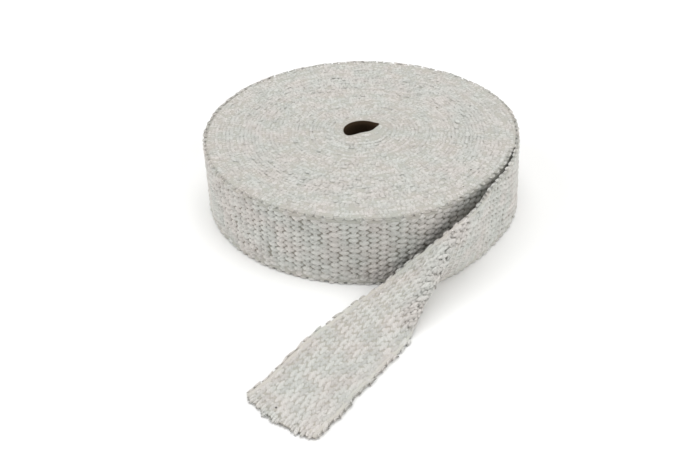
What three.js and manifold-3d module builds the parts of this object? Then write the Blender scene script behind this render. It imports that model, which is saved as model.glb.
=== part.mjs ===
// Exhaust heat wrap: one continuous woven tape, wound flat into a roll round an open bore,
// with the last stretch of the tape peeled off and laid out on the floor.
// All sizes are in millimetres, +Z is up, and the roll lies on its flat end.

import * as THREE from 'three';
import { mergeVertices } from 'three/addons/utils/BufferGeometryUtils.js';
import Module from 'manifold-3d';

// Driving sizes of the tape
const tapeWidth = 50;
const tapeThickness = 2.5;

// Driving sizes of the roll
const rollRadius = 110;
const boreRadius = 13.5;
const turnCount = Math.floor((rollRadius - boreRadius) / tapeThickness);

// Every third joint between two turns is cut as a groove, and the ends stay flat between them
const turnsPerGroove = 3;
const grooveDepth = 0.9;
const grooveWidth = 1.4;
const rollSegments = 48;

// The loose end starts inside the outermost turn and leaves the roll at this angle
const buriedRadius = 107.2;
const buriedFromAngle = -24;
const leavesAtAngle = -37;
const edgeSetIn = 0.3;
const looseSteps = 60;

const wasm = await Module();
wasm.setup();

// Point on the outermost turn, at an angle in degrees seen from above and a height
function onTurn(angle, radius, height) {
  const turn = THREE.MathUtils.degToRad(angle);
  return new THREE.Vector3(radius * Math.cos(turn), radius * Math.sin(turn), height);
}

// Radii of the grooves, which are the joints between groups of turns
function grooveRadii() {
  const radii = [];
  for (let turn = turnsPerGroove; turn < turnCount; turn += turnsPerGroove) {
    radii.push(boreRadius + turn * tapeThickness);
  }
  return radii;
}

// One end of the roll as a line from the bore outwards: flat lands with a V between them
function endOutline(height, inward) {
  const points = [new THREE.Vector2(boreRadius, height)];
  for (const radius of grooveRadii()) {
    points.push(new THREE.Vector2(radius - grooveWidth / 2, height));
    points.push(new THREE.Vector2(radius, height + inward * grooveDepth));
    points.push(new THREE.Vector2(radius + grooveWidth / 2, height));
  }
  points.push(new THREE.Vector2(rollRadius, height));
  return points;
}

// The wound roll, turned about its bore from an outline that closes on itself
function rollGeometry() {
  const base = endOutline(0, 1);
  const top = endOutline(tapeWidth, -1).reverse();
  const outline = [...base, ...top, base[0].clone()];
  const lathe = new THREE.LatheGeometry(outline, rollSegments);
  return lathe.rotateX(Math.PI / 2);
}

// Three lines run along the loose end: the edge that stays on the floor, the middle,
// and the edge that starts as the upper one and comes down as the tape turns flat.
// Their free points are counted in tape widths from the roll's axis, so they grow with the tape.
function looseLine(height, freePoints) {
  const buried = [];
  for (let angle = buriedFromAngle; angle >= leavesAtAngle; angle -= 6) {
    buried.push(onTurn(angle, buriedRadius, height));
  }
  const free = freePoints.map(([x, y, z]) => new THREE.Vector3(x, y, z).multiplyScalar(tapeWidth));
  return new THREE.CatmullRomCurve3([...buried, ...free], false, 'centripetal');
}

// Middle height of the tape where it lies flat, in tape widths
const flat = tapeThickness / 2 / tapeWidth;

const floorEdge = looseLine(edgeSetIn, [
  [1.544, -1.544, 0.008],
  [1.33, -1.82, 0.016],
  [1.15, -1.99, flat],
  [0.95, -2.15, flat],
  [0.78, -2.34, flat],
  [0.69, -2.6, flat],
  [0.59, -3, flat],
  [0.49, -3.3, flat],
  [0.32, -3.56, flat],
  [0.14, -3.82, flat],
  [-0.08, -4.12, flat],
  [-0.26, -4.41, flat],
  [-0.504, -4.738, flat],
]);

const middleLine = looseLine(tapeWidth / 2, [
  [1.556, -1.556, 0.5],
  [1.41, -1.88, 0.5],
  [1.23, -2.11, 0.51],
  [1.04, -2.29, 0.54],
  [0.89, -2.52, 0.5],
  [0.75, -2.75, 0.4],
  [0.56, -2.94, 0.27],
  [0.33, -3.02, 0.15],
  [0.13, -3.17, 0.09],
  [-0.1, -3.38, 0.046],
  [-0.39, -3.74, flat],
  [-0.616, -4.07, flat],
  [-0.908, -4.484, flat],
]);

const raisedEdge = looseLine(tapeWidth - edgeSetIn, [
  [1.568, -1.568, 0.986],
  [1.46, -1.79, 0.97],
  [1.33, -1.98, 0.946],
  [1.14, -2.09, 0.83],
  [0.91, -2.15, 0.64],
  [0.63, -2.24, 0.44],
  [0.34, -2.34, 0.22],
  [0.09, -2.49, 0.11],
  [-0.14, -2.66, 0.05],
  [-0.41, -2.94, 0.03],
  [-0.734, -3.34, flat],
  [-0.966, -3.72, flat],
  [-1.28, -4.13, flat],
]);

// Outward normal of the tape at one step, from its neighbours along and across
function faceNormal(lines, step, across) {
  const before = lines[across][Math.max(step - 1, 0)];
  const after = lines[across][Math.min(step + 1, looseSteps)];
  const along = after.clone().sub(before);
  const lower = lines[Math.max(across - 1, 0)][step];
  const upper = lines[Math.min(across + 1, lines.length - 1)][step];
  const over = upper.clone().sub(lower);
  return over.cross(along).normalize();
}

// One slice through the tape: up its outer face and back down its inner face.
// It rests on the floor and never rises above the roll.
function looseSlice(lines, step) {
  const outer = [];
  const inner = [];
  lines.forEach((line, across) => {
    const half = faceNormal(lines, step, across).multiplyScalar(tapeThickness / 2);
    outer.push(line[step].clone().add(half));
    inner.unshift(line[step].clone().sub(half));
  });
  const slice = [...outer, ...inner];
  slice.forEach((point) => point.setZ(THREE.MathUtils.clamp(point.z, 0, tapeWidth)));
  return slice;
}

// The loose end as one closed body: a skin from slice to slice, and a cap at both ends
function looseEndGeometry() {
  const lines = [floorEdge, middleLine, raisedEdge].map((line) => line.getPoints(looseSteps));
  const slices = [];
  for (let step = 0; step <= looseSteps; step += 1) {
    slices.push(looseSlice(lines, step));
  }
  const around = slices[0].length;
  const last = looseSteps * around;
  const faces = [];
  for (let step = 0; step < looseSteps; step += 1) {
    for (let side = 0; side < around; side += 1) {
      const here = step * around + side;
      const next = step * around + ((side + 1) % around);
      faces.push(here, here + around, next);
      faces.push(next, here + around, next + around);
    }
  }
  for (let side = 0; side < around / 2 - 1; side += 1) {
    const opposite = around - 1 - side;
    faces.push(side, side + 1, opposite - 1, side, opposite - 1, opposite);
    faces.push(last + side, last + opposite, last + opposite - 1);
    faces.push(last + side, last + opposite - 1, last + side + 1);
  }
  const geometry = new THREE.BufferGeometry().setFromPoints(slices.flat());
  geometry.setIndex(faces);
  return geometry;
}

// A three.js geometry as a solid that can be joined to another
function toSolid(geometry) {
  geometry.deleteAttribute('normal');
  geometry.deleteAttribute('uv');
  const merged = mergeVertices(geometry, 1e-4);
  return new wasm.Manifold(new wasm.Mesh({
    numProp: 3,
    vertProperties: new Float32Array(merged.attributes.position.array),
    triVerts: new Uint32Array(merged.index.array),
  }));
}

// A joined solid as a three.js geometry again
function toGeometry(solid) {
  const mesh = solid.getMesh();
  const geometry = new THREE.BufferGeometry();
  geometry.setAttribute('position', new THREE.BufferAttribute(mesh.vertProperties, 3));
  geometry.setIndex(new THREE.BufferAttribute(mesh.triVerts, 1));
  geometry.computeVertexNormals();
  return geometry;
}

const joined = toSolid(rollGeometry()).add(toSolid(looseEndGeometry()));
const tapeGeometry = toGeometry(joined);

// The frame's origin is under the middle of the whole part, on the floor
tapeGeometry.computeBoundingBox();
const box = tapeGeometry.boundingBox;
const middle = box.getCenter(new THREE.Vector3());
tapeGeometry.translate(-middle.x, -middle.y, -box.min.z);

const tape = new THREE.Mesh(tapeGeometry, new THREE.MeshStandardMaterial({
  color: 0xcdc9bf,
  roughness: 0.95,
  metalness: 0,
}));
tape.name = 'heat_wrap_tape';

const part = new THREE.Group();
part.name = 'exhaust_heat_wrap';
part.add(tape);

export default part;
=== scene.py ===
# %% [markdown]
# # A roll of exhaust heat wrap
#
# Heat wrap is a thick, soft tape woven from ceramic-fibre yarn. Here 15 m of it is wound
# flat into a roll that lies on its end, and the last stretch is peeled off, twisted flat and
# laid out in front. The whole object is one tape, so this lesson builds it the way a weaver
# would see it: a plain ground, yarn floats lying on both faces, looped edges and a cut end.
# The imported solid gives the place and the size, and the pieces made here stand for it.

import math

import bpy
import numpy as np
from mathutils import Matrix, Vector


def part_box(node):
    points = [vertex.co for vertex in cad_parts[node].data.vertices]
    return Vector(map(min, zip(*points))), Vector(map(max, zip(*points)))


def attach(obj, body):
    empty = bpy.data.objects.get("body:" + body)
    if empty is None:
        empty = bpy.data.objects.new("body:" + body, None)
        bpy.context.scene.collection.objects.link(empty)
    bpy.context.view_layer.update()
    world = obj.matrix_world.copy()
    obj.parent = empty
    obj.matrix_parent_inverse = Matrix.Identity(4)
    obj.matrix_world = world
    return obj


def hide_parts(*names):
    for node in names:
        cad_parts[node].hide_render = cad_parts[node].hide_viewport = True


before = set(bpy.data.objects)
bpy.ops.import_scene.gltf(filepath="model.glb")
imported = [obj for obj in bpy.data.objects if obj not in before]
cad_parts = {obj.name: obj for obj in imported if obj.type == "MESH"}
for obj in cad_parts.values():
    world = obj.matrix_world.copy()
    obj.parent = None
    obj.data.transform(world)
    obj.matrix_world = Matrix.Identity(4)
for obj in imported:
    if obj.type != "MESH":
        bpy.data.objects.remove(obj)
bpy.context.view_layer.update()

# %% The sizes that everything follows
MM = 0.001
SOLID = "heat_wrap_tape"
TAPE_WIDTH = 50 * MM
TAPE_THICKNESS = 2.5 * MM
BORE_RADIUS = 13.5 * MM

low, high = (Vector(corner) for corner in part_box(SOLID))
ROLL_RADIUS = (high.x - low.x) / 2
ROLL_CENTRE = Vector(((low.x + high.x) / 2, high.y - ROLL_RADIUS, low.z))
print("roll radius", round(ROLL_RADIUS, 4), "centre", [round(c, 4) for c in ROLL_CENTRE])

# %% [markdown]
# ## Camera
#
# The photograph looks down on the roll from a little above the bench. Its camera was found
# by fitting the outlines of the roll, so the numbers are a place in metres from the roll's
# axis, a turn, a tilt and a slight roll, and a lens for a 36 mm wide sensor.

# %% Camera at the photograph's viewing angle
CAMERA_FROM_AXIS = Vector((0, -0.5694, 0.3683))
CAMERA_TURN = math.radians(-1.02)
CAMERA_TILT_DOWN = math.radians(35.55)
CAMERA_ROLL = math.radians(-1.03)
CAMERA_LENS_MM = 48.16
SENSOR_MM = 36


def camera_axes(turn, tilt, roll):
    """Right, up and forward of a camera that is turned, tilted down and rolled."""
    forward = Vector((math.sin(turn) * math.cos(tilt), math.cos(turn) * math.cos(tilt), -math.sin(tilt)))
    right = Vector((math.cos(turn), -math.sin(turn), 0))
    up = right.cross(forward)
    rolled_right = right * math.cos(roll) + up * math.sin(roll)
    rolled_up = up * math.cos(roll) - right * math.sin(roll)
    return rolled_right, rolled_up, forward


camera_data = bpy.data.cameras.new("camera")
camera_data.lens = CAMERA_LENS_MM
camera_data.sensor_width = SENSOR_MM
camera_data.sensor_fit = "HORIZONTAL"
camera = bpy.data.objects.new("camera", camera_data)
bpy.context.scene.collection.objects.link(camera)
right, up, forward = camera_axes(CAMERA_TURN, CAMERA_TILT_DOWN, CAMERA_ROLL)
camera.matrix_world = Matrix((
    (right.x, up.x, -forward.x, ROLL_CENTRE.x + CAMERA_FROM_AXIS.x),
    (right.y, up.y, -forward.y, ROLL_CENTRE.y + CAMERA_FROM_AXIS.y),
    (right.z, up.z, -forward.z, CAMERA_FROM_AXIS.z),
    (0, 0, 0, 1),
))
bpy.context.scene.camera = camera
print("camera looks down at", round(math.degrees(CAMERA_TILT_DOWN), 1), "degrees")

# %% [markdown]
# ## Materials
#
# Ceramic-fibre yarn is off-white, quite matt and a little hairy. It has no gloss, so the look
# comes from the light that the floats catch, from the dark between them, and from small
# differences of tone from one float to the next. A picture of cloth could be laid on a smooth
# tape, but it would stay flat at the outline. So each float carries its own tone as an
# attribute, and a fine noise on Object coordinates stands for the fibres.

# %% Colour and node helpers
def linear(hex_colour):
    """An sRGB hex colour as linear red, green, blue and full alpha."""
    channels = [int(hex_colour[i:i + 2], 16) / 255 for i in (0, 2, 4)]
    return [c / 12.92 if c <= 0.04045 else ((c + 0.055) / 1.055) ** 2.4 for c in channels] + [1.0]


def add_node(tree, kind, settings=None, links=None):
    """Adds a node with its settings, and links sockets of other nodes into its inputs.

    A setting is an attribute of the node, or an input by name or number. Mix and Random Value
    have several sockets of one name, so theirs are taken by number."""
    node = tree.nodes.new(kind)
    for name, value in (settings or {}).items():
        if isinstance(name, str) and hasattr(node, name):
            setattr(node, name, value)
        else:
            node.inputs[name].default_value = value
    for name, socket in (links or {}).items():
        tree.links.new(socket, node.inputs[name])
    return node


def new_material(name, roughness):
    """A material with one Principled shader, and the shader."""
    material = bpy.data.materials.new(name)
    material.use_nodes = True
    shader = material.node_tree.nodes["Principled BSDF"]
    shader.inputs["Roughness"].default_value = roughness
    return material, shader


# %% [markdown]
# ### Ceramic-fibre yarn
#
# Staple fibre is carded and spun into a soft yarn, so it is matt and its surface is ragged.
# The fibres are a few thousandths of a millimetre thick, far too fine to show. The noise is
# drawn at 1.1 mm, as coarse as it needs to show, as small tufts of them. The plies of the yarn
# are a slanting wave on the float's own UV map.
#
# New wrap isn't one even white. Broad pale tints, pinkish and greenish, multiply the yarn's
# colour, and dark specks lie some way apart. The tips of each float go down into the holes of
# the weave, where hardly any light comes, so painted shade darkens them along the UV map. That
# is cheaper than holes as deep as the real ones, and it keeps them dark at this size.

# %% Yarn material
YARN_ROUGHNESS = 0.94
SHEEN_LEVEL = 0.1

# Colours of the spun yarn, of the pressed floats, and the tints that multiply both
YARN_LIGHT = "DBD9D5"
YARN_DARK = "C8C6C1"
FLOAT_LIGHT = "D5D3CF"
FLOAT_DARK = "C0BEBA"
TINT_PINK = "FFFCFB"
TINT_GREEN = "FAFDFC"
TINT_GREEN_BELOW = 0.35
TINT_PINK_ABOVE = 0.65
TINT_SIZE = 16 * MM
TINT_DETAIL = 1.0

# Tufts of fibre, and how much of the tone is theirs
FIBRE_TUFT = 1.1 * MM
FIBRE_DETAIL = 3.0
FIBRE_ROUGHNESS = 0.6
FIBRE_RELIEF = 0.35 * MM
TUFT_TONE = 0.5

# Plies: the wave texture draws ten radians to a unit, so this scale makes one band a unit
WAVE_SCALE = 0.628
PLIES_SHOWN = 3.5
PLY_SLANT = 1.5
PLY_DISTORTION = 1.2

# Shade of the tips, between these shares of the way from the float's middle to its tip
HOLE_SHADE = "555149"
HOLE_FROM = 0.68
HOLE_TO = 0.86

# Dark specks, some way apart
SPECK_SPACING = 16 * MM
SPECK_SIZE = 0.8 * MM
SPECK_COLOUR = "3F3A33"


def yarn_material(name, light, dark, bump, ply_bump, tip_shade):
    """Matt staple yarn: tone by float, faint tints, shaded tips, dark specks, and a relief of tufts and
    plies.
    """
    material, shader = new_material(name, YARN_ROUGHNESS)
    shader.inputs["Specular IOR Level"].default_value = SHEEN_LEVEL
    tree = material.node_tree
    place = add_node(tree, "ShaderNodeTexCoord")
    tone = add_node(tree, "ShaderNodeAttribute", {"attribute_name": "tone"})
    tufts = add_node(tree, "ShaderNodeTexNoise",
                     {"Scale": 1 / FIBRE_TUFT, "Detail": FIBRE_DETAIL, "Roughness": FIBRE_ROUGHNESS},
                     {"Vector": place.outputs["Object"]})
    mixed_tone = add_node(tree, "ShaderNodeMath", {"operation": "MULTIPLY_ADD", 1: TUFT_TONE},
                          {0: tufts.outputs["Fac"], 2: tone.outputs["Fac"]})
    body = add_node(tree, "ShaderNodeMix", {"data_type": "RGBA", 6: linear(dark), 7: linear(light)},
                    {0: mixed_tone.outputs["Value"]})
    broad = add_node(tree, "ShaderNodeTexNoise", {"Scale": 1 / TINT_SIZE, "Detail": TINT_DETAIL},
                     {"Vector": place.outputs["Object"]})
    tint = add_node(tree, "ShaderNodeValToRGB", {}, {"Fac": broad.outputs["Fac"]})
    tint.color_ramp.elements[0].position = TINT_GREEN_BELOW
    tint.color_ramp.elements[0].color = linear(TINT_GREEN)
    tint.color_ramp.elements[1].position = TINT_PINK_ABOVE
    tint.color_ramp.elements[1].color = linear(TINT_PINK)
    tinted = add_node(tree, "ShaderNodeMix", {"data_type": "RGBA", "blend_type": "MULTIPLY", 0: 1.0},
                      {6: body.outputs[2], 7: tint.outputs["Color"]})
    share = add_node(tree, "ShaderNodeSeparateXYZ", {}, {"Vector": place.outputs["UV"]})
    from_middle = add_node(tree, "ShaderNodeMath", {"operation": "MULTIPLY_ADD", 1: 2.0, 2: -1.0},
                           {0: share.outputs["X"]})
    to_tip = add_node(tree, "ShaderNodeMath", {"operation": "ABSOLUTE"}, {0: from_middle.outputs["Value"]})
    in_hole = add_node(tree, "ShaderNodeMapRange",
                       {"From Min": HOLE_FROM, "From Max": HOLE_TO, "To Max": tip_shade},
                       {"Value": to_tip.outputs["Value"]})
    colour = add_node(tree, "ShaderNodeMix", {"data_type": "RGBA", 7: linear(HOLE_SHADE)},
                      {0: in_hole.outputs["Result"], 6: tinted.outputs[2]})
    # Dark specks some way apart darken the colour
    speck_cells = add_node(tree, "ShaderNodeTexVoronoi", {"Scale": 1 / SPECK_SPACING},
                    {"Vector": place.outputs["Object"]})
    in_speck = add_node(tree, "ShaderNodeMapRange",
                       {"From Min": SPECK_SIZE / SPECK_SPACING, "From Max": SPECK_SIZE / SPECK_SPACING / 2},
                       {"Value": speck_cells.outputs["Distance"]})
    specked = add_node(tree, "ShaderNodeMix", {"data_type": "RGBA", 7: linear(SPECK_COLOUR)},
                       {0: in_speck.outputs["Result"], 6: colour.outputs[2]})
    along_yarn = add_node(tree, "ShaderNodeMapping", {"Scale": (PLIES_SHOWN, PLY_SLANT, 1)},
                          {"Vector": place.outputs["UV"]})
    plies = add_node(tree, "ShaderNodeTexWave",
                     {"bands_direction": "DIAGONAL", "Scale": WAVE_SCALE, "Distortion": PLY_DISTORTION},
                     {"Vector": along_yarn.outputs["Vector"]})
    twist = add_node(tree, "ShaderNodeBump", {"Strength": ply_bump, "Distance": FIBRE_RELIEF},
                     {"Height": plies.outputs["Fac"]})
    relief = add_node(tree, "ShaderNodeBump", {"Strength": bump, "Distance": FIBRE_RELIEF},
                      {"Height": tufts.outputs["Fac"], "Normal": twist.outputs["Normal"]})
    tree.links.new(specked.outputs[2], shader.inputs["Base Color"])
    tree.links.new(relief.outputs["Normal"], shader.inputs["Normal"])
    return material


yarn = yarn_material("ceramic_fibre_yarn_spun", YARN_LIGHT, YARN_DARK,
                     bump=0.9, ply_bump=0.9, tip_shade=0.25)
float_yarn = yarn_material("ceramic_fibre_yarn_floats", FLOAT_LIGHT, FLOAT_DARK,
                           bump=0.7, ply_bump=0.9, tip_shade=0.65)
loose_yarn = yarn_material("ceramic_fibre_yarn_loose_floats", FLOAT_LIGHT, FLOAT_DARK,
                           bump=0.7, ply_bump=0.9, tip_shade=0.35)
print("materials", yarn.name, float_yarn.name, loose_yarn.name)

# %% [markdown]
# ### The ground under the floats
#
# Between the floats one looks into the weave, where light hardly reaches. The ground is the
# same yarn, but it is drawn darker, because the real hollows are deeper than these. On the
# roll the tape is pulled tight and its hollows are dark, and on the loose end it lies slack
# and light comes through. The strip's tone attribute blends from one to the other.
#
# The imported edges under the tufts are paler, since nothing is deep there. The bore is narrow
# and 50 mm deep, and little light reaches its wall. Its dark brown colours are painted shade,
# warmed by light that has bounced off the yarn.

# %% Ground material
# The hollows' colours are painted shade: darkest on the roll, where the tape is tight, and lighter on the
# loose end, where light comes through
HOLLOW_LIGHT = "B7B4AC"
HOLLOW_DARK = "87847C"
PACKED_LIGHT = "C9C7C0"
PACKED_DARK = "B4B2AB"
# Painted shade of the deep bore, dark and warm brown
BORE_SHADE_LIGHT = "4E3F30"
BORE_SHADE_DARK = "3A2D20"
ground = yarn_material("woven_ground_in_the_hollows", HOLLOW_LIGHT, HOLLOW_DARK,
                       bump=0.6, ply_bump=0.0, tip_shade=0.0)
edge_ground = yarn_material("packed_selvedges_under_the_tufts", PACKED_LIGHT, PACKED_DARK,
                            bump=0.6, ply_bump=0.0, tip_shade=0.0)
bore_wall = yarn_material("shaded_inner_turn_of_the_bore", BORE_SHADE_LIGHT, BORE_SHADE_DARK,
                          bump=0.6, ply_bump=0.0, tip_shade=0.0)
print("materials", ground.name, edge_ground.name, bore_wall.name)

# %% [markdown]
# ## The path of the tape
#
# The tape's last turn lies on the roll, and then the tape leaves it, stands on its edge for a
# short way and twists until it lies flat. A cloth simulation would give soft folds, but not
# these ones. A ribbon like this is easiest to hold by three lines along it: the edge that
# stays on the floor, the middle and the raised edge. Each row below is one line across the
# tape, in millimetres from the roll's axis. They were set until both edges fell on the
# photograph's outlines with the tape 50 mm wide.

# %% Lines across the loose end
CROSS_LINES_MM = [
    ((77.5, -79.0, 1.2), (78.3, -79.5, 25), (78.6, -78.5, 48.8)),
    ((66.5, -91.0, 1.2), (70.5, -94.0, 25), (73.0, -89.5, 48.5)),
    ((57.5, -99.5, 1.2), (61.5, -105.5, 25.5), (66.5, -99.0, 47.3)),
    ((47.5, -107.5, 1.3), (52.0, -114.5, 27), (57.0, -104.5, 41.5)),
    ((39.0, -117.0, 1.45), (44.5, -126.0, 25), (45.5, -107.5, 32)),
    ((34.5, -130.0, 1.45), (37.5, -137.5, 20), (31.5, -112.0, 22)),
    ((29.5, -150.0, 1.45), (28.0, -147.0, 13.5), (17.0, -117.0, 11)),
    ((24.5, -165.0, 1.45), (16.5, -151.0, 7.5), (4.5, -124.5, 5.5)),
    ((16.0, -178.0, 1.45), (6.5, -158.5, 4.5), (-7.0, -133.0, 2.7)),
    ((7.0, -191.0, 1.45), (-5.0, -169.0, 2.3), (-20.5, -147.0, 1.5)),
    ((-4.0, -206.0, 1.45), (-19.5, -187.0, 1.45), (-36.7, -167.0, 1.45)),
    ((-13.0, -220.5, 1.45), (-30.8, -203.5, 1.45), (-48.3, -186.0, 1.45)),
    ((-25.5, -237.5, 1.45), (-46.6, -225.8, 1.45), (-64.0, -206.5, 1.45)),
]

# %% The last turn, as lines across the tape too
LEAVES_AT_DEG = -37
TURN_STARTS_AT_DEG = 345
TURN_STEP_DEG = 4
TURN_RADIUS_MM = 108.8
FLATTENED_MM = 2.8
FLATTENED_AT_DEG = -12
FLATTENED_REACH_DEG = 38
TURN_DROP_MM = 6.2
DROP_FROM_DEG = 286
DROP_TO_DEG = 318
EDGE_INSET_MM = 1.2


def ease(value):
    """A smooth step from 0 to 1, for numbers and arrays."""
    share = np.clip(value, 0, 1)
    return share * share * (3 - 2 * share)


def flattened_mm(angle):
    """How far the roll's right side is drawn flat at an angle, where the loose end pulls on it."""
    return FLATTENED_MM * ease(1 - abs(angle - FLATTENED_AT_DEG) / FLATTENED_REACH_DEG)


def drop_mm(angle):
    """How far the last turn has wound in at an angle, to end under the loose end."""
    return TURN_DROP_MM * ease((angle - DROP_FROM_DEG) / (DROP_TO_DEG - DROP_FROM_DEG))


def line_on_roll(angle):
    """A line across the tape where it lies on the roll. Only its upper part is drawn flat."""
    heights = (EDGE_INSET_MM, TAPE_WIDTH / MM / 2, TAPE_WIDTH / MM - EDGE_INSET_MM)
    line = []
    for share, height in zip((0, 0.5, 1), heights):
        radius = TURN_RADIUS_MM - drop_mm(angle) - share * flattened_mm(angle)
        turn = math.radians(angle)
        line.append((radius * math.cos(turn), radius * math.sin(turn), height))
    return tuple(line)


turn_angles = np.arange(TURN_STARTS_AT_DEG, LEAVES_AT_DEG - 1, -TURN_STEP_DEG)
all_lines = np.array([line_on_roll(a) for a in turn_angles] + CROSS_LINES_MM) * MM
all_lines += np.array([ROLL_CENTRE.x, ROLL_CENTRE.y, 0])
print("lines across the tape:", len(all_lines))


# %% A smooth surface through those lines
def through(points, where):
    """Catmull-Rom through points, along the first axis of their array, at positions between them."""
    ends = np.concatenate([[2 * points[0] - points[1]], points, [2 * points[-1] - points[-2]]])
    first = np.clip(np.floor(where).astype(int), 0, len(points) - 2)
    t = (where - first).reshape((-1,) + (1,) * (points.ndim - 1))
    before, start, stop, after = (ends[first + k] for k in range(4))
    return 0.5 * (2 * start + (stop - before) * t + (2 * before - 5 * start + 4 * stop - after) * t ** 2
                  + (3 * start - before - 3 * stop + after) * t ** 3)


SAMPLES_PER_LINE = 12
ACROSS_STEPS = 16
sampled_at = np.linspace(0, len(all_lines) - 1, SAMPLES_PER_LINE * (len(all_lines) - 1) + 1)
sampled_middle = through(all_lines[:, 1], sampled_at)
travelled = np.concatenate([[0], np.cumsum(np.linalg.norm(np.diff(sampled_middle, axis=0), axis=1))])
TAPE_LENGTH = float(travelled[-1])
print("tape modelled, metres:", round(TAPE_LENGTH, 3))


# %% The bow between the lines' three points, and directions on any such surface
def bow(line, v):
    """The bow through a line's three points, at v from 0 at the lower edge to 1 at the upper."""
    lower, middle, upper = np.moveaxis(line, -2, 0)
    return lower * (1 - v) * (1 - 2 * v) + 4 * middle * v * (1 - v) + upper * v * (2 * v - 1)


def bowed_point(along, across):
    """Points on the bowed tape: along in metres from the hidden end, across from 0 to 1.

    Across is a share of the bow's length, so the yarns stay evenly spaced where the tape is bowed."""
    line = through(all_lines, np.interp(along, travelled, sampled_at))
    steps = np.linspace(0, 1, ACROSS_STEPS + 1)
    curve = bow(line[:, None], steps[None, :, None])
    length = np.concatenate([np.zeros((len(line), 1)),
                             np.cumsum(np.linalg.norm(np.diff(curve, axis=1), axis=2), axis=1)], axis=1)
    wanted = np.asarray(across) * length[:, -1]
    k = np.clip((length <= wanted[:, None]).sum(axis=1) - 1, 0, ACROSS_STEPS - 1)
    row = np.arange(len(line))
    share = (wanted - length[row, k]) / (length[row, k + 1] - length[row, k])
    return bow(line, ((k + share) / ACROSS_STEPS)[:, None])


STEP_ALONG = 1.0 * MM
STEP_ACROSS = 0.02


def directions(surface, along, across):
    """Unit directions of a surface: along the tape, and out of its outer face."""
    forward_way = surface(along + STEP_ALONG, across) - surface(along - STEP_ALONG, across)
    across_way = surface(along, across + STEP_ACROSS) - surface(along, across - STEP_ACROSS)
    outward = np.cross(across_way, forward_way)
    forward_way /= np.linalg.norm(forward_way, axis=1, keepdims=True)
    outward /= np.linalg.norm(outward, axis=1, keepdims=True)
    return forward_way, outward


# %% [markdown]
# ### The crease and the wavering edges
#
# Where the standing tape turns over, the thick cloth doesn't bend evenly. It folds along a
# low ridge that runs slantwise from the lower edge to the upper one. And slack tape is never
# quite the same width, so its edges waver a little. More lines across the tape could carry
# both, but they would have to lie very close together. Both are added to the bowed surface
# instead, as a ridge with a soft foot and two slow waves.

# %% The crease where the standing part turns over, and the waver
CREASE_HEIGHT = 2.4 * MM
CREASE_REACH = 9.0 * MM
CREASE_LEAST = 0.02 * MM

# The lines across the loose end where the crease meets the lower and the upper edge
CREASE_AT_LINES = (5.2, 2.6)

# Shares of the width over which the crease rises from the lower edge and from the upper one
CREASE_FADES = 0.45
CREASE_STARTS = 0.2

WAVER = 0.007
WAVER_LENGTHS = (13 * MM, 31 * MM)
TONE_BLEND = 60 * MM
first_loose = len(turn_angles)
loose_from = float(np.interp(first_loose - 1, sampled_at, travelled))
crease_lower, crease_upper = (float(np.interp(first_loose + line, sampled_at, travelled))
                              for line in CREASE_AT_LINES)
print("the crease runs from", round(crease_lower, 3), "m below to", round(crease_upper, 3), "m above")


def tape_point(along, across):
    """The bowed tape with its slantwise crease and its slightly wavering width."""
    waver = sum(np.sin(2 * math.pi * along / length) for length in WAVER_LENGTHS) * WAVER
    wider = waver * (2 * across - 1) * ease((along - loose_from) / TONE_BLEND)
    point = bowed_point(along, across + wider)
    crease_at = crease_lower + (crease_upper - crease_lower) * np.asarray(across)
    nearness = np.exp(-np.abs(along - crease_at) / CREASE_REACH)
    within_edges = ease(across / CREASE_FADES) * ease((1 - across) / CREASE_STARTS)
    height = CREASE_HEIGHT * nearness * within_edges
    raised = height > CREASE_LEAST
    if raised.any():
        _, outward = directions(bowed_point, along[raised], across[raised])
        point[raised] += outward * height[raised][:, None]
    return point


def tape_frame(along, across):
    """Point, direction along the tape, and direction out of its outer face."""
    forward_way, outward = directions(tape_point, along, across)
    return tape_point(along, across), forward_way, outward


# %% [markdown]
# ## The ground of the tape
#
# The ground is a strip with real thickness, thinner than the tape, because the floats stand
# on it. It could be a plane with Solidify, but its two skins, edges and ends are simple
# to write as one closed skin, which keeps it a clean solid for the export.

# %% Mesh helper
def new_piece(name, points, faces, material):
    """A mesh object at the origin, smooth, with its material."""
    mesh = bpy.data.meshes.new(name)
    mesh.from_pydata([tuple(map(float, p)) for p in points], [], [tuple(map(int, f)) for f in faces])
    mesh.materials.append(material)
    mesh.shade_smooth()
    mesh.update()
    piece = bpy.data.objects.new(name, mesh)
    bpy.context.scene.collection.objects.link(piece)
    return piece


# %% Ground strip
GROUND_THICKNESS = 0.3 * MM
BEAD_THICKNESS = 2.3 * MM
BEAD_REACH = 1.3 * MM
GROUND_STEP = 4.0 * MM
BEAD_SHARE = 0.06
GROUND_ACROSS = [0, 0.012, 0.03, 0.06, 0.12, 0.24, 0.38, 0.5, 0.62, 0.76, 0.88, 0.94, 0.97, 0.988, 1]


def ground_thickness(across):
    """Thin between the floats, and full at both edges, where the crossing yarn turns back."""
    to_edge = np.minimum(across, 1 - across) * TAPE_WIDTH
    bead = BEAD_THICKNESS * np.sqrt(np.clip(1 - (1 - to_edge / BEAD_REACH) ** 2, 0, 1))
    foot = GROUND_THICKNESS + (BEAD_THICKNESS - GROUND_THICKNESS) * (1 - ease(to_edge / BEAD_REACH - 1))
    return np.where(to_edge < BEAD_REACH, np.maximum(bead, GROUND_THICKNESS), foot)


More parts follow.
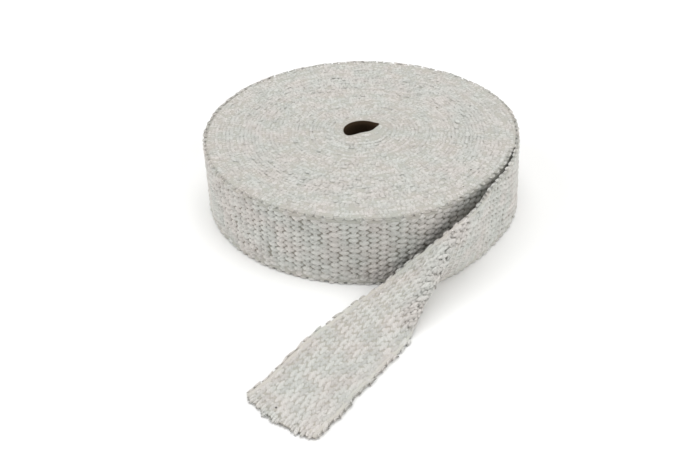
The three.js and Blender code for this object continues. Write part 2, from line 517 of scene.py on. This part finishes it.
def ground_strip():
    """Points and faces of the closed strip of the ground, from the hidden end to the cut end."""
    along_count = int(TAPE_LENGTH / GROUND_STEP)
    along = np.linspace(0, TAPE_LENGTH, along_count + 1)
    across = np.array(GROUND_ACROSS)
    s, v = (grid.ravel() for grid in np.meshgrid(along, across, indexing="ij"))
    point, _, outward = tape_frame(s, v)
    half = outward * ground_thickness(v)[:, None] / 2
    shape = (along_count + 1, len(across), 3)
    ring = np.concatenate([(point + half).reshape(shape), (point - half).reshape(shape)[:, ::-1]], axis=1)
    around = ring.shape[1]
    faces = []
    for i in range(along_count):
        for k in range(around):
            here, beside = i * around + k, i * around + (k + 1) % around
            faces.append((here, beside, beside + around, here + around))
    faces.append(tuple(range(around))[::-1])
    faces.append(tuple(along_count * around + k for k in range(around)))
    return ring.reshape(-1, 3), faces


# %% The strip as a piece, with its beads and its tone
strip_points, strip_faces = ground_strip()
tape_ground = new_piece("tape_ground", strip_points, strip_faces, ground)
tape_ground.data.materials.append(edge_ground)
around = 2 * len(GROUND_ACROSS)
bead_columns = [k for k, v in enumerate(GROUND_ACROSS) if v <= BEAD_SHARE or v >= 1 - BEAD_SHARE]
in_bead = [index % around in bead_columns or around - 1 - index % around in bead_columns
           for index in range(len(strip_faces))]
tape_ground.data.polygons.foreach_set("material_index", np.array(in_bead, dtype=np.int32))
# The strip's tone is painted shade, dark on the roll and lighter on the loose end, where light comes through
ring_along = np.repeat(np.linspace(0, TAPE_LENGTH, len(strip_points) // around), around)
tone = tape_ground.data.attributes.new("tone", "FLOAT", "POINT")
tone.data.foreach_set("value", ease((ring_along - loose_from) / TONE_BLEND).astype(np.float32))
print("ground strip faces:", len(strip_faces), "leaves the roll after", round(loose_from, 3), "m")

# %% [markdown]
# ## Yarn floats
#
# In a plain weave each lengthwise yarn goes over one crossing yarn and under the next, and
# its neighbours do the opposite. What shows is a brickwork of short lens-shaped floats with
# dark holes at their tips. A displaced grid would need very many faces to keep those holes,
# so one float of a few dozen faces is laid on every crossing by Geometry Nodes. On the loose
# end nothing pulls on the yarns, so there the floats are a little longer and narrower. Where
# a lengthwise yarn dives under, a shorter lens of the crossing yarn fills the place.

# %% A lens of yarn
END_COUNT = 24
PICK_PITCH = 6.0 * MM
TIP_GIRTH = 0.06


def lens_mesh(name, steps, sides, pointed, tuck):
    """The upper half of a lens of yarn, one unit long, wide and high, and open below.

    Its tips are tucked under. Its UV map runs once along the yarn and once across it."""
    points, faces = [], []
    for i in range(steps + 1):
        x = -1 + 2 * i / steps
        girth = max(1 - x * x, 0) ** pointed * (1 - TIP_GIRTH) + TIP_GIRTH
        for k in range(sides + 1):
            turn = math.pi * k / sides
            points.append((x / 2, math.cos(turn) * girth / 2, math.sin(turn) * girth - tuck * x * x))
    row = sides + 1
    for i in range(steps):
        for k in range(sides):
            here = i * row + k
            faces.append((here, here + row, here + row + 1, here + 1))
    piece = new_piece(name, points, faces, yarn)
    uv = piece.data.uv_layers.new(name="yarn")
    for loop, corner in zip(piece.data.loops, uv.data):
        i, k = divmod(loop.vertex_index, row)
        corner.uv = (i / steps, k / sides)
    print(name, "faces:", len(faces))
    return piece


FLOAT_SIZE = (9.2 * MM, 3.7 * MM, 1.45 * MM)
LOOSE_FLOAT_SIZE = (10.0 * MM, 3.1 * MM, 1.25 * MM)
float_source = lens_mesh("one_float", steps=8, sides=5, pointed=0.9, tuck=0.32)


# %% The tree that lays a piece on every guide point
def build_laying_tree():
    """Geometry Nodes: an instance on each point, turned by the point's own directions."""
    tree = bpy.data.node_groups.new("lay_on_points", "GeometryNodeTree")
    face = tree.interface
    face.new_socket("Geometry", in_out="INPUT", socket_type="NodeSocketGeometry")
    face.new_socket("Piece", in_out="INPUT", socket_type="NodeSocketObject")
    face.new_socket("Material", in_out="INPUT", socket_type="NodeSocketMaterial")
    face.new_socket("Size", in_out="INPUT", socket_type="NodeSocketVector")
    face.new_socket("Size variation", in_out="INPUT", socket_type="NodeSocketFloat")
    face.new_socket("Turn variation", in_out="INPUT", socket_type="NodeSocketFloat")
    face.new_socket("Seed", in_out="INPUT", socket_type="NodeSocketInt")
    face.new_socket("Geometry", in_out="OUTPUT", socket_type="NodeSocketGeometry")
    given = add_node(tree, "NodeGroupInput").outputs
    along, outward = (add_node(tree, "GeometryNodeInputNamedAttribute",
                               {"data_type": "FLOAT_VECTOR", "Name": name}) for name in ("along", "outward"))
    facing = add_node(tree, "FunctionNodeAlignRotationToVector", {"axis": "X"},
                      {"Vector": along.outputs["Attribute"]})
    standing = add_node(tree, "FunctionNodeAlignRotationToVector", {"axis": "Z", "pivot_axis": "X"},
                        {"Rotation": facing.outputs["Rotation"], "Vector": outward.outputs["Attribute"]})
    less = add_node(tree, "ShaderNodeMath", {"operation": "MULTIPLY", 1: -1.0},
                    {0: given["Turn variation"]})
    turn = add_node(tree, "FunctionNodeRandomValue", {"data_type": "FLOAT"},
                    {2: less.outputs["Value"], 3: given["Turn variation"], "Seed": given["Seed"]})
    turn_vector = add_node(tree, "ShaderNodeCombineXYZ", {}, {"Z": turn.outputs[1]})
    local_turn = add_node(tree, "FunctionNodeEulerToRotation", {},
                          {"Euler": turn_vector.outputs["Vector"]})
    turned = add_node(tree, "FunctionNodeRotateRotation", {"rotation_space": "LOCAL"},
                      {"Rotation": standing.outputs["Rotation"],
                       "Rotate By": local_turn.outputs["Rotation"]})
    limits = []
    for operation in ("SUBTRACT", "ADD"):
        share = add_node(tree, "ShaderNodeMath", {"operation": operation, 0: 1.0},
                         {1: given["Size variation"]})
        limits.append(add_node(tree, "ShaderNodeCombineXYZ", {},
                               {axis: share.outputs["Value"] for axis in "XYZ"}))
    smallest, largest = (limit.outputs["Vector"] for limit in limits)
    spread = add_node(tree, "FunctionNodeRandomValue", {"data_type": "FLOAT_VECTOR"},
                      {0: smallest, 1: largest, "Seed": given["Seed"]})
    size = add_node(tree, "ShaderNodeVectorMath", {"operation": "MULTIPLY"},
                    {0: given["Size"], 1: spread.outputs["Value"]})
    shape = add_node(tree, "GeometryNodeObjectInfo", {}, {"Object": given["Piece"]})
    laid = add_node(tree, "GeometryNodeInstanceOnPoints", {},
                    {"Points": given["Geometry"], "Instance": shape.outputs["Geometry"],
                     "Rotation": turned.outputs["Rotation"], "Scale": size.outputs["Vector"]})
    tone = add_node(tree, "FunctionNodeRandomValue", {"data_type": "FLOAT"}, {"Seed": given["Seed"]})
    toned = add_node(tree, "GeometryNodeStoreNamedAttribute",
                     {"data_type": "FLOAT", "domain": "INSTANCE", "Name": "tone"},
                     {"Geometry": laid.outputs["Instances"], "Value": tone.outputs[1]})
    real = add_node(tree, "GeometryNodeRealizeInstances", {}, {"Geometry": toned.outputs["Geometry"]})
    finished = add_node(tree, "GeometryNodeSetMaterial", {},
                        {"Geometry": real.outputs["Geometry"], "Material": given["Material"]})
    add_node(tree, "NodeGroupOutput", {}, {"Geometry": finished.outputs["Geometry"]})
    return tree


laying_tree = build_laying_tree()
print("nodes in the laying tree:", len(laying_tree.nodes))


# %% Use of the tree, ending in a plain mesh
def rest_on_floor(mesh):
    """Presses up whatever would reach below the floor, as the floor does to soft yarn."""
    floor_level = ROLL_CENTRE.z
    places = np.empty(len(mesh.vertices) * 3, dtype=np.float32)
    mesh.vertices.foreach_get("co", places)
    places[2::3] = np.maximum(places[2::3], floor_level)
    mesh.vertices.foreach_set("co", places)


def lay_pieces(name, source, points, along, outward, material, size, size_variation, turn_variation, seed):
    """Lays source on every point, and keeps the result as a plain mesh object."""
    guide = bpy.data.meshes.new(name + "_guide")
    guide.from_pydata([tuple(map(float, p)) for p in points], [], [])
    for label, vectors in (("along", along), ("outward", outward)):
        attribute = guide.attributes.new(label, "FLOAT_VECTOR", "POINT")
        attribute.data.foreach_set("vector", np.asarray(vectors, dtype=np.float32).ravel())
    carrier = bpy.data.objects.new(name + "_guide", guide)
    bpy.context.scene.collection.objects.link(carrier)
    modifier = carrier.modifiers.new("lay", "NODES")
    modifier.node_group = laying_tree
    values = {"Piece": source, "Material": material, "Size": size, "Size variation": size_variation,
              "Turn variation": turn_variation, "Seed": seed}
    for item in laying_tree.interface.items_tree:
        if item.in_out == "INPUT" and item.name in values:
            modifier[item.identifier] = values[item.name]
    bpy.context.view_layer.update()
    evaluated = carrier.evaluated_get(bpy.context.evaluated_depsgraph_get())
    mesh = bpy.data.meshes.new_from_object(evaluated)
    mesh.name = name
    rest_on_floor(mesh)
    mesh.shade_smooth()
    bpy.data.objects.remove(carrier)
    bpy.data.meshes.remove(guide)
    piece = bpy.data.objects.new(name, mesh)
    bpy.context.scene.collection.objects.link(piece)
    print(name, "faces:", len(mesh.polygons))
    return piece


# %% Crossing yarn that shows between the floats
CROSSING_SIZE = (3.8 * MM, 2.9 * MM, 0.85 * MM)
crossing_source = lens_mesh("one_crossing", steps=4, sides=3, pointed=0.5, tuck=0.4)

# %% Floats and crossings on both faces of the tape
OUTER_FACE = 1
INNER_FACE = -1
FLOAT_LIFT = -0.1 * MM
FLOAT_SHIFT = 0.4 * MM
FLOAT_SHIFT_ACROSS = 0.003
END_MARGIN = 0.25


def yarn_place(end):
    """Where a lengthwise yarn lies across the tape, from 0 to 1, with a margin counted in yarns."""
    return (end + 0.5 + END_MARGIN) / (END_COUNT + 2 * END_MARGIN)


def crossings(start, stop, face):
    """Where the lengthwise yarns lie on top of one face: a brickwork of points."""
    last = min(stop, TAPE_LENGTH - PICK_PITCH / 2)
    places = []
    for pick in range(math.ceil(start / PICK_PITCH), math.ceil(last / PICK_PITCH)):
        first_end = pick % 2 if face == OUTER_FACE else (pick + 1) % 2
        for end in range(first_end, END_COUNT, 2):
            places.append((pick * PICK_PITCH, yarn_place(end)))
    return np.array(places)


def floats_on(name, start, stop, face, material, size, seed):
    """The floats of one face of the tape between two distances along it."""
    places = crossings(start, stop, face)
    jitter = np.random.default_rng(seed).normal(0, 1, places.shape) * (FLOAT_SHIFT, FLOAT_SHIFT_ACROSS)
    places = places + jitter
    point, along, outward = tape_frame(places[:, 0], places[:, 1])
    point = point + face * outward * FLOAT_LIFT
    return lay_pieces(name, float_source, point, along, face * outward, material, size,
                      size_variation=0.13, turn_variation=0.09, seed=seed)


def crossings_on(name, start, stop, face, seed):
    """The crossing yarn over the lengthwise yarns that dive under, so at the other face's places."""
    places = crossings(start, stop, -face)
    point, along, outward = tape_frame(places[:, 0], places[:, 1])
    across_way = np.cross(outward, along)
    return lay_pieces(name, crossing_source, point, across_way, face * outward, yarn, CROSSING_SIZE,
                      size_variation=0.12, turn_variation=0.1, seed=seed)


outer_floats = floats_on("outer_face_floats", 0, loose_from, OUTER_FACE, float_yarn,
                         FLOAT_SIZE, seed=3)
loose_floats = floats_on("loose_end_floats", loose_from, TAPE_LENGTH, OUTER_FACE, loose_yarn,
                         LOOSE_FLOAT_SIZE, seed=7)
outer_crossings = crossings_on("outer_face_crossings", 0, TAPE_LENGTH, OUTER_FACE, seed=5)

# The inner face shows only on the last stretch of the tape
INNER_FACE_SEEN = 350 * MM
LOOSE_START = TAPE_LENGTH - INNER_FACE_SEEN
inner_floats = floats_on("inner_face_floats", LOOSE_START, TAPE_LENGTH, INNER_FACE, loose_yarn,
                         LOOSE_FLOAT_SIZE, seed=4)
inner_crossings = crossings_on("inner_face_crossings", LOOSE_START, TAPE_LENGTH, INNER_FACE, seed=6)

# %% [markdown]
# ## The wound roll
#
# Inside the last turn are some 37 more. From above each turn is a soft ridge, and together
# they make one spiral. All 15 m could be wound as a strip, but everything between the turns is
# hidden, and the faces would be wasted there. The two ends are polar grids raised into those
# ridges, joined by the bore wall and by a plain outer wall that the last turn hides.

# %% Outline of the wound turns, and the raised lip of the bore
TURN_PITCH = TAPE_THICKNESS
SLIT_WIDTH = 1.0 * MM
SLIT_UNTIL_DEG = 12
LIP_RISE = 3.6 * MM
LIP_INWARD = 4.6 * MM
LIP_FACES_DEG = -50
LIP_REACH = 5.0 * MM

# The lip starts at this share of the height, and rises by these shares all round and on its side
LIP_FROM_HEIGHT = 0.55
LIP_ALL_ROUND = 0.3
LIP_ON_ITS_SIDE = 0.9


def wound_outline(angle_deg):
    """Radius of the turns that lie inside the last one, with a slit beside its hidden end."""
    hidden_end = TURN_STARTS_AT_DEG - 360
    angle = (angle_deg - hidden_end) % 360 + hidden_end
    inner_face = (TURN_RADIUS_MM - drop_mm(angle) - flattened_mm(angle)) * MM - GROUND_THICKNESS * 2
    slit = SLIT_WIDTH * (1 - ease((angle - hidden_end) / (SLIT_UNTIL_DEG - hidden_end)))
    return inner_face - slit


def with_lip(x, y, z):
    """Lifts the inner turns on the near side, and pushes them into the bore, as they have sprung there."""
    radius = np.hypot(x - ROLL_CENTRE.x, y - ROLL_CENTRE.y)
    angle = np.arctan2(y - ROLL_CENTRE.y, x - ROLL_CENTRE.x)
    facing = np.cos(angle - math.radians(LIP_FACES_DEG))
    nearness = np.exp(-np.maximum(radius - BORE_RADIUS, 0) / LIP_REACH)
    high_up = ease((z - LIP_FROM_HEIGHT * TAPE_WIDTH) / ((1 - LIP_FROM_HEIGHT) * TAPE_WIDTH))
    lifted = LIP_RISE * ease(LIP_ALL_ROUND + LIP_ON_ITS_SIDE * facing) * nearness * high_up
    inward = LIP_INWARD * ease(facing) * nearness * high_up
    return x - inward * np.cos(angle), y - inward * np.sin(angle), z + lifted


# %% Wound roll
RIDGE_DEPTH = 0.4 * MM
RIDGE_ROUNDNESS = 0.6
TURN_UNEVENNESS = 0.2 * MM
SAMPLES_PER_TURN = 4
WOUND_SECTORS = 180
WALL_STEPS = 12
TOP_LEVEL = TAPE_WIDTH - 0.6 * MM
BASE_LEVEL = 0.5 * MM


def spiral_relief(radius, angle, seed):
    """Height of the turn edges: one ridge for each turn, and each a little higher or lower."""
    phase = (radius - BORE_RADIUS) / TURN_PITCH + angle / (2 * math.pi)
    turn = np.floor(phase).astype(int)
    ridge = np.abs(np.sin(math.pi * phase)) ** RIDGE_ROUNDNESS
    levels = np.random.default_rng(seed).normal(0, TURN_UNEVENNESS, turn.max() + 1)
    return (ridge - 1) * RIDGE_DEPTH + levels[turn]


def wound_roll():
    """One closed skin: top from the bore outwards, outer wall, base back to the bore, bore wall."""
    angles = np.linspace(0, 2 * math.pi, WOUND_SECTORS, endpoint=False)
    outline = wound_outline(np.degrees(angles))
    rings = int(SAMPLES_PER_TURN * (outline.max() - BORE_RADIUS) / TURN_PITCH)
    outward_share = np.linspace(0, 1, rings + 1)
    radius = BORE_RADIUS + outward_share[:, None] * (outline - BORE_RADIUS)[None, :]
    angle = np.broadcast_to(angles, radius.shape)
    upper = TOP_LEVEL + spiral_relief(radius, angle, seed=11)
    lower = np.maximum(BASE_LEVEL - spiral_relief(radius, angle, seed=12), 0)
    wall_share = np.linspace(0, 1, WALL_STEPS + 1)[1:-1]
    bore_height = lower[0] + wall_share[:, None] * (upper[0] - lower[0])
    bore_radius = np.full(bore_height.shape, BORE_RADIUS)
    radius = np.concatenate([radius, radius[::-1], bore_radius])
    height = np.concatenate([upper, lower[::-1], bore_height])
    angle = np.broadcast_to(angles, radius.shape)
    x, y, z = with_lip(ROLL_CENTRE.x + radius * np.cos(angle),
                       ROLL_CENTRE.y + radius * np.sin(angle), height)
    rows = len(radius)
    faces, in_bore = [], []
    for i in range(rows):
        for k in range(WOUND_SECTORS):
            beside = (k + 1) % WOUND_SECTORS
            below = (i + 1) % rows
            faces.append((i * WOUND_SECTORS + k, below * WOUND_SECTORS + k,
                          below * WOUND_SECTORS + beside, i * WOUND_SECTORS + beside))
            in_bore.append(i > 2 * rings)
    return np.stack([x, y, z], axis=-1).reshape(-1, 3), faces, in_bore


wound_points, wound_faces, in_bore = wound_roll()
wound = new_piece("wound_turns", wound_points, wound_faces, edge_ground)
wound.data.materials.append(bore_wall)
wound.data.polygons.foreach_set("material_index", np.array(in_bore, dtype=np.int32))
print("wound roll faces:", len(wound_faces))

# %% [markdown]
# ## Tufts on the turn edges
#
# At its edges the crossing yarn turns back in small loops, and hundreds of them packed side
# by side give the roll's ends a grainy felt look. Bump alone would leave the rims smooth in
# outline. So they are laid along the spiral by the same tree, with more variation than the
# floats, since wound edges are never regular, and here and there one is worn away.

# %% Tufts along the spiral
TUFT_SIZE = (4.2 * MM, 2.9 * MM, 0.65 * MM)
TUFT_SPACING = 2.9 * MM
TUFTS_MISSING = 0.05
TUFT_SINK = 0.25 * MM
TUFT_SHIFT = 0.22 * MM
TUFT_UNEVENNESS = 0.2 * MM
TUFT_TILT = 0.05
TUFT_TO_OUTLINE = TURN_PITCH / 3
tuft_source = lens_mesh("one_tuft", steps=4, sides=3, pointed=0.5, tuck=0.5)


def spiral_tufts(name, level, facing, seed):
    """Tufts along the wound turns of one end of the roll."""
    rng = np.random.default_rng(seed)
    points, along = [], []
    angle = 0.0
    radius = BORE_RADIUS + TURN_PITCH / 2
    widest = float(wound_outline(np.arange(360)).max())
    while radius < widest:
        wobble = rng.normal(0, 1, 3)
        worn_out = rng.random() < TUFTS_MISSING
        if not worn_out and radius < wound_outline(-math.degrees(angle)) - TUFT_TO_OUTLINE:
            r = radius + wobble[0] * TUFT_SHIFT
            points.append((ROLL_CENTRE.x + r * math.cos(-angle), ROLL_CENTRE.y + r * math.sin(-angle),
                           level + facing * wobble[1] * TUFT_UNEVENNESS))
            along.append((math.sin(-angle), -math.cos(-angle), TUFT_TILT * wobble[2]))
        angle += TUFT_SPACING / radius
        radius = BORE_RADIUS + TURN_PITCH / 2 + TURN_PITCH * angle / (2 * math.pi)
    outward = np.tile((0, 0, facing), (len(points), 1))
    points = np.stack(with_lip(*np.array(points).T), axis=-1)
    return lay_pieces(name, tuft_source, points, along, outward, yarn, TUFT_SIZE,
                      size_variation=0.22, turn_variation=0.3, seed=seed)


top_tufts = spiral_tufts("top_edge_tufts", TOP_LEVEL - TUFT_SINK, facing=1, seed=21)
base_tufts = spiral_tufts("base_edge_tufts", BASE_LEVEL + TUFT_SINK, facing=-1, seed=22)

# %% [markdown]
# ## Looped edges of the last turn and the loose end
#
# Each edge of the tape is a row of the same loops, one for each crossing yarn, so the outline
# is slightly bumpy. A wavy bead on the ground strip could stand for them, but it looks like
# cord. So they are laid one by one along both edges. Each starts a little outside its edge and
# is round on the side towards the tape's middle. The upper ones lie flatter.

# %% Edge loops
LOWER_LOOP_SIZE = (6.0 * MM, 2.8 * MM, 1.8 * MM)
UPPER_LOOP_SIZE = (6.4 * MM, 2.8 * MM, 1.3 * MM)
LOOP_OUTSIDE_EDGE = 0.6 * MM
LOOP_SHIFT = 0.4 * MM


def edge_loops(name, across, size, seed):
    """A loop for every crossing yarn along one edge of the tape."""
    along_at = np.arange(PICK_PITCH / 2, TAPE_LENGTH - PICK_PITCH / 3, PICK_PITCH)
    rng = np.random.default_rng(seed)
    along_at = along_at + rng.normal(0, LOOP_SHIFT, len(along_at))
    edge = np.full(len(along_at), float(across))
    point, along, outward = tape_frame(along_at, edge)
    to_middle = np.cross(along, outward) * (1 if across < 0.5 else -1)
    start = point - to_middle * LOOP_OUTSIDE_EDGE
    return lay_pieces(name, tuft_source, start, along, to_middle, yarn, size,
                      size_variation=0.3, turn_variation=0.15, seed=seed)


lower_loops = edge_loops("lower_edge_loops", 0, LOWER_LOOP_SIZE, seed=31)
upper_loops = edge_loops("upper_edge_loops", 1, UPPER_LOOP_SIZE, seed=32)

# %% [markdown]
# ## The cut end
#
# Shears leave the lengthwise yarns as a row of soft brushes. They have loosened a little, so
# no two stand out equally far. Hair curves would give single fibres, but they are far too fine
# to see here. So each brush is one blunt lens of yarn that sticks out past the ground.

# %% Cut yarn ends
CUT_END_SIZE = (6.0 * MM, 2.3 * MM, 1.1 * MM)
CUT_END_SPREAD = 0.9 * MM
CUT_END_INSET = 0.3


def cut_ends(name, face, seed):
    """One brush for each lengthwise yarn on one face, along the cut."""
    rng = np.random.default_rng(seed)
    across = yarn_place(np.arange(END_COUNT))
    along_at = TAPE_LENGTH - CUT_END_SIZE[0] * CUT_END_INSET + rng.normal(0, CUT_END_SPREAD, END_COUNT)
    point, along, outward = tape_frame(along_at, across)
    return lay_pieces(name, tuft_source, point, along, face * outward, yarn, CUT_END_SIZE,
                      size_variation=0.2, turn_variation=0.3, seed=seed)


upper_cut_ends = cut_ends("cut_ends_on_top", OUTER_FACE, seed=41)
lower_cut_ends = cut_ends("cut_ends_below", INNER_FACE, seed=42)

# %% Remove the sources, attach each piece to the root body and hide the solid
for source in (float_source, crossing_source, tuft_source):
    bpy.data.objects.remove(source)

yarn_pieces = [outer_floats, loose_floats, outer_crossings, inner_floats, inner_crossings,
               lower_loops, upper_loops, upper_cut_ends, lower_cut_ends]
for piece in yarn_pieces + [tape_ground, wound, top_tufts, base_tufts]:
    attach(piece, "root")
    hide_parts(SOLID)
print("pieces of yarn:", len(yarn_pieces), "and the strip, the wound turns and their tufts")

# %% [markdown]
# ## Floor and light
#
# The photograph was taken in a light tent: pale all round, soft from above and from both
# sides, and a little darker towards the camera, so the side that faces the camera is the
# darkest. Area lights would make the pale floor brighter near them. Three suns as broad as the
# walls of a tent light all of it alike, and a weak white world fills what they leave.

# %% Floor
FLOOR_SIZE = 6.0
floor_half = FLOOR_SIZE / 2
FLOOR_COLOUR = "FAFAF9"
floor_material, floor_shader = new_material("plain_pale_floor", roughness=0.9)
floor_shader.inputs["Base Color"].default_value = linear(FLOOR_COLOUR)
floor_corners = [(-floor_half, -floor_half, 0), (floor_half, -floor_half, 0),
                 (floor_half, floor_half, 0), (-floor_half, floor_half, 0)]
floor = new_piece("floor", floor_corners, [(0, 1, 2, 3)], floor_material)
print("floor, metres across:", FLOOR_SIZE)

# %% Lights
OVERHEAD_STRENGTH = 1.52
SIDE_STRENGTH = 1.4
WORLD_STRENGTH = 0.35
WHITE = "FFFFFF"


def soft_sun(name, towards, softness_deg, strength):
    """A broad even light from one direction. It gives every part of the floor the same light."""
    data = bpy.data.lights.new(name, "SUN")
    data.angle = math.radians(softness_deg)
    data.energy = strength
    lamp = bpy.data.objects.new(name, data)
    lamp.rotation_euler = Vector(towards).to_track_quat("Z", "Y").to_euler()
    bpy.context.scene.collection.objects.link(lamp)


soft_sun("overhead", towards=(0.0, 0.15, 1.0), softness_deg=50, strength=OVERHEAD_STRENGTH)
soft_sun("left_side", towards=(-1.0, -0.1, 0.5), softness_deg=60, strength=SIDE_STRENGTH)
soft_sun("right_side", towards=(1.0, -0.45, 0.5), softness_deg=60, strength=SIDE_STRENGTH)

world = bpy.data.worlds.new("light_tent")
world.use_nodes = True
background = world.node_tree.nodes["Background"]
background.inputs["Color"].default_value = linear(WHITE)
background.inputs["Strength"].default_value = WORLD_STRENGTH
bpy.context.scene.world = world
bpy.context.scene.view_settings.view_transform = "Standard"
print("lights:", [light.name for light in bpy.data.lights])
